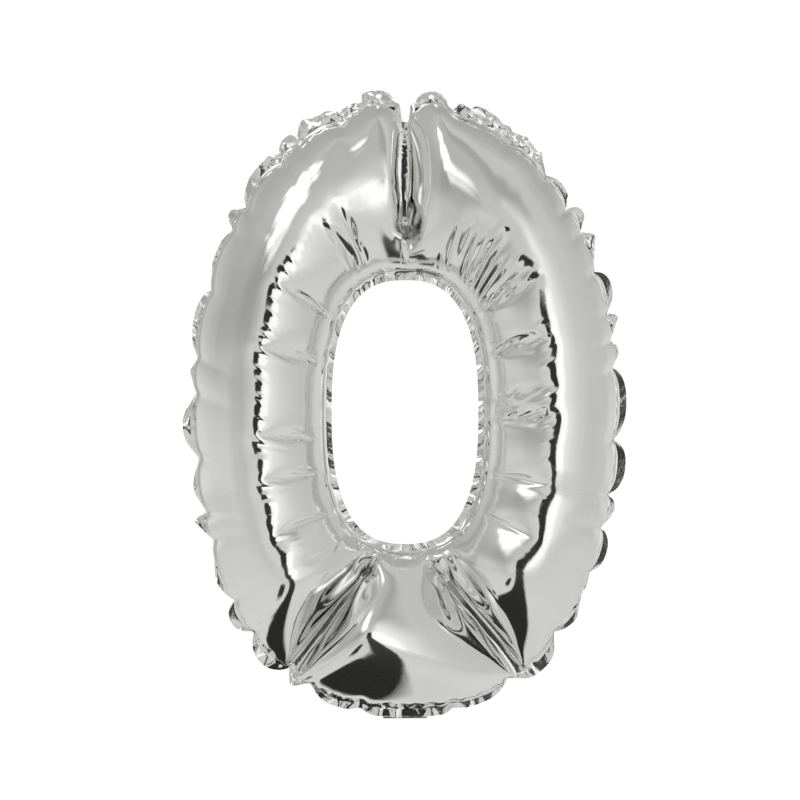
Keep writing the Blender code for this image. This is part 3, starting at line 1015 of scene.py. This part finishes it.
def valve_films(look):
    """The two films of the one-way valve, which lie together inside the chamber."""
    heights = np.linspace(VALVE_BASE, VALVE_BASE + VALVE_LENGTH, 40)
    for name, side in (("valve_front", -1), ("valve_back", 1)):
        path = [(side * 0.25, z) for z in heights]

        def lift(across, length):
            ripple = 0.5 + 0.5 * np.sin(length / 4.0 + 2 * across)
            return side * 0.35 * ripple * length / VALVE_LENGTH

        points, length = strip_grid(path, VALVE_HALF_WIDTH, 17, lift)
        taper = 1 - VALVE_TAPER / VALVE_HALF_WIDTH * np.linspace(0, 1, len(path))[:, None]
        points[..., 0] *= taper
        faces = grid_quads(*points.shape[:2], False, side > 0)
        add_film(name, points, faces, look, name, [name + "_film"])


# -------------------- studio
def patch(tree, azimuth, height, low, high, down, up, soft):
    """1 inside a box of the sky, given in degrees, and 0 outside it, with soft edges."""
    sides = []
    for source, value, turn in (
        (azimuth, low, 1), (azimuth, high, -1), (height, down, 1), (height, up, -1)
    ):
        edge, reach = math.radians(value), math.radians(soft) * turn
        sides.append(ramp(tree, source, edge - reach, edge + reach, kind="SMOOTHSTEP"))
    product = sides[0]
    for side in sides[1:]:
        product = maths(tree, "MULTIPLY", product, side)
    return product


# Tone of the studio walls, as the foil shows them, at four heights in degrees: each is a
# list of (azimuth from the camera's side, positive to the right; tone from black to white).
WALLS = {
    -35: [(-180, 0.76), (-150, 0.70), (-120, 0.66), (-90, 0.68), (-60, 0.77), (-30, 0.81),
          (0, 0.81), (30, 0.84), (90, 0.80), (150, 0.79)],
    -5: [(-180, 0.80), (-150, 0.84), (-120, 0.84), (-90, 0.81), (-60, 0.80), (-40, 0.75),
         (-28, 0.74), (-14, 0.80), (2, 0.84), (9, 0.97), (18, 0.97), (26, 0.89), (38, 0.84),
         (52, 0.80), (65, 0.77), (80, 0.755), (110, 0.765), (128, 0.82), (150, 0.81)],
    13: [(-180, 0.70), (-150, 0.77), (-120, 0.73), (-99, 0.70), (-83, 0.66), (-60, 0.66),
         (-40, 0.62), (-28, 0.61), (-17, 0.66), (-8, 0.75), (6, 0.77), (18, 0.92), (30, 0.86),
         (42, 0.80), (54, 0.77), (80, 0.75), (110, 0.74), (129, 0.76), (150, 0.74)],
    38: [(-180, 0.66), (-120, 0.67), (-90, 0.69), (-66, 0.72), (-50, 0.74), (-24, 0.70),
         (5, 0.71), (18, 0.65), (27, 0.64), (44, 0.76), (66, 0.76), (90, 0.72), (120, 0.68),
         (150, 0.65)],
}

# Lamps, gaps and dark cards that the foil reflects: azimuth from and to, height from and to
# and softness of the edge in degrees, and how bright.
SKY = [
    (-52, -24, 41, 54, 4, 1.6),
    (-44, -16, 28, 43, 4, 1.5),
    (-36, -11, 20, 30, 4, 1.4),
    (-27, -15, 14, 20, 3, 1.0),
    (9, 20, -26, 8, 3, 1.15),
    (-4, 7, -8, 6, 1, 0.03),
    (172, 184, -20, 60, 4, 1.4),
    (-160, -140, -20, 30, 7, 0.45),
    (186, 196, -30, 20, 2, 0.08),
]


def linear(tone):
    """Light behind a display tone, once the foil has taken its share."""
    return ((tone + 0.055) / 1.055) ** 2.4 / FOIL_TINT[0]


def wall_ramp(tree, azimuth, stops):
    """A smooth ring of tones round the horizon."""
    made = tree.nodes.new("ShaderNodeValToRGB")
    made.color_ramp.interpolation = "EASE"
    elements = made.color_ramp.elements
    stops = stops + [(180, stops[0][1])]
    while len(elements) < len(stops):
        elements.new(0.5)
    for element, (angle, tone) in zip(elements, stops):
        element.position = (angle + 180) / 360
        element.color = (*[linear(tone)] * 3, 1)
    feed(tree, made, {"Fac": ramp(tree, azimuth, -math.pi, math.pi)})
    return made.outputs["Color"]


def studio():
    """Walls, lamps and cards round the balloon, by direction; the camera sees plain white."""
    world = bpy.data.worlds.new("studio")
    bpy.context.scene.world = world
    world.use_nodes = True
    tree = world.node_tree
    place = node(tree, "ShaderNodeTexCoord", "Generated")
    x, y, z = (node(tree, "ShaderNodeSeparateXYZ", axis, {0: place}) for axis in "XYZ")
    azimuth = maths(tree, "ARCTAN2", x, maths(tree, "MULTIPLY", y, -1))
    height = maths(tree, "ARCSINE", z)
    levels = list(WALLS)
    tone = wall_ramp(tree, azimuth, WALLS[levels[0]])
    for below, level in zip(levels, levels[1:]):
        low, high = math.radians(below), math.radians(level)
        rise = ramp(tree, height, low, high, kind="SMOOTHSTEP")
        tone = mix(tree, rise, tone, wall_ramp(tree, azimuth, WALLS[level]))
    for *box, value in SKY:
        tone = mix(tree, patch(tree, azimuth, height, *box), tone, value)
    to_camera = node(tree, "ShaderNodeLightPath", "Is Camera Ray")
    strength = mix(tree, to_camera, tone, BACKDROP_WHITE)
    feed(tree, tree.nodes["Background"], {"Strength": strength, "Color": STUDIO_TINT})


# Two strips of dark cloth on the floor: x, y and half width along each, in metres.
LONG_CLOTH = [
    (-0.17, 0.27, 0.07), (-0.16, 0.15, 0.15), (-0.13, 0.00, 0.15), (-0.07, -0.16, 0.11),
    (-0.01, -0.31, 0.08), (0.04, -0.48, 0.08), (0.08, -0.75, 0.10), (0.11, -1.20, 0.13),
    (0.13, -1.80, 0.19), (0.11, -2.50, 0.24), (0.08, -3.20, 0.32),
]
SHORT_CLOTH = [
    (-0.20, -0.32, 0.03), (-0.20, -0.45, 0.07), (-0.20, -0.80, 0.08), (-0.20, -1.05, 0.04),
]


def floor(centre):
    """A round pale floor that fades out at its edge, and the soft lamp above it."""
    cos, sin = turns(FLOOR_TURNS)
    points = np.stack([cos, sin, np.zeros_like(cos)], -1) * FLOOR_RADIUS
    dark = [c * 0.97 for c in FLOOR_TINT]
    paper = cloudy_material("floor_paper", 3.0, dark, FLOOR_TINT, {"Roughness": 0.8})
    tree = paper.node_tree
    place = node(tree, "ShaderNodeTexCoord", "Object")
    away = node(tree, "ShaderNodeVectorMath", "Value", {0: place}, operation="LENGTH")
    fade = ramp(tree, away, FLOOR_FADE, FLOOR_RADIUS, 1, 0)
    feed(tree, tree.nodes["Principled BSDF"], {"Alpha": fade})
    obj = add_mesh("floor", points, np.arange(FLOOR_TURNS)[None], paper)
    obj.location = (centre.x, 0, centre.z - FLOOR_DROP)
    light = bpy.data.lights.new("soft_lamp", "AREA")
    light.shape = "SQUARE"
    light.size, light.energy = LAMP_SIZE, LAMP_POWER
    lamp = bpy.data.objects.new("soft_lamp", light)
    lamp.location = (0, 0, centre.z + LAMP_RISE)
    bpy.context.scene.collection.objects.link(lamp)
    lamp.visible_camera = lamp.visible_glossy = False


def dark_cloth(name, path, centre):
    """A strip of dark cloth on the floor: the foil's black reflections come from it."""
    look, tree, shader, place = new_material(name + "_weave", {"Roughness": 0.9})
    weave = ramp(tree, grain(tree, place, 40.0), 0.3, 0.7, *CLOTH_TONES)
    feed(tree, shader, {"Base Color": weave, "Alpha": attribute(tree, "cover")})
    path = np.array(path)
    ahead = np.gradient(path[:, :2], axis=0)
    ahead /= np.linalg.norm(ahead, axis=1)[:, None]
    across = np.array([-1.0, -0.75, 0.75, 1.0])
    reach = path[:, 2:] * across
    x = path[:, :1] - ahead[:, 1:] * reach
    y = path[:, 1:2] + ahead[:, :1] * reach
    cover = np.tile(np.abs(across) < 1, (len(path), 1))
    cover[[0, -1]] = False
    points = np.stack([x, y, np.zeros_like(x)], -1)
    obj = add_mesh(name, points, grid_quads(*x.shape, False, False), look)
    add_values(obj, "cover", cover)
    obj.location = (0, 0, centre.z - FLOOR_DROP + CLOTH_RISE)
    obj.visible_camera = obj.visible_shadow = obj.visible_diffuse = False


def camera(centre):
    data = bpy.data.cameras.new("camera")
    data.sensor_width = SENSOR_WIDTH
    data.lens = SENSOR_WIDTH * CAMERA_DISTANCE / VIEW_WIDTH
    obj = bpy.data.objects.new("camera", data)
    obj.location = centre + Vector((0, -CAMERA_DISTANCE, 0))
    obj.rotation_euler = (math.pi / 2, 0, 0)
    bpy.context.scene.collection.objects.link(obj)
    bpy.context.scene.camera = obj


camera(VIEW_CENTRE)
studio()
floor(VIEW_CENTRE)
dark_cloth("long_cloth", LONG_CLOTH, VIEW_CENTRE)
dark_cloth("short_cloth", SHORT_CLOTH, VIEW_CENTRE)
looks = {
    "front_foil": foil_material("front_foil_film", True),
    "back_foil": foil_material("back_foil_film", True),
    "tab": foil_material("tab_foil_film", False),
    "tail": foil_material("tail_foil_film", False),
    "heat_seal": cloudy_material(
        "heat_seal", 300.0, (0.50, 0.50, 0.49), (0.74, 0.74, 0.73), {"Metallic": 0.7}, (0.25, 0.45)
    ),
    "valve_film": cloudy_material(
        "valve_film", 160.0, (0.80, 0.83, 0.84), (0.93, 0.95, 0.95),
        {"Transmission Weight": 0.7, "IOR": 1.45}, (0.12, 0.3),
    ),
}
film, middle = foil_sheets(looks)
seal_strips(film, middle, looks["heat_seal"])
tab("left_tab", -1, looks["tab"], "left_hanging_tab")
tab("right_tab", 1, looks["tab"], "right_hanging_tab")
tail(looks)
valve_films(looks["valve_film"])

bpy.context.scene.view_settings.view_transform = "Standard"
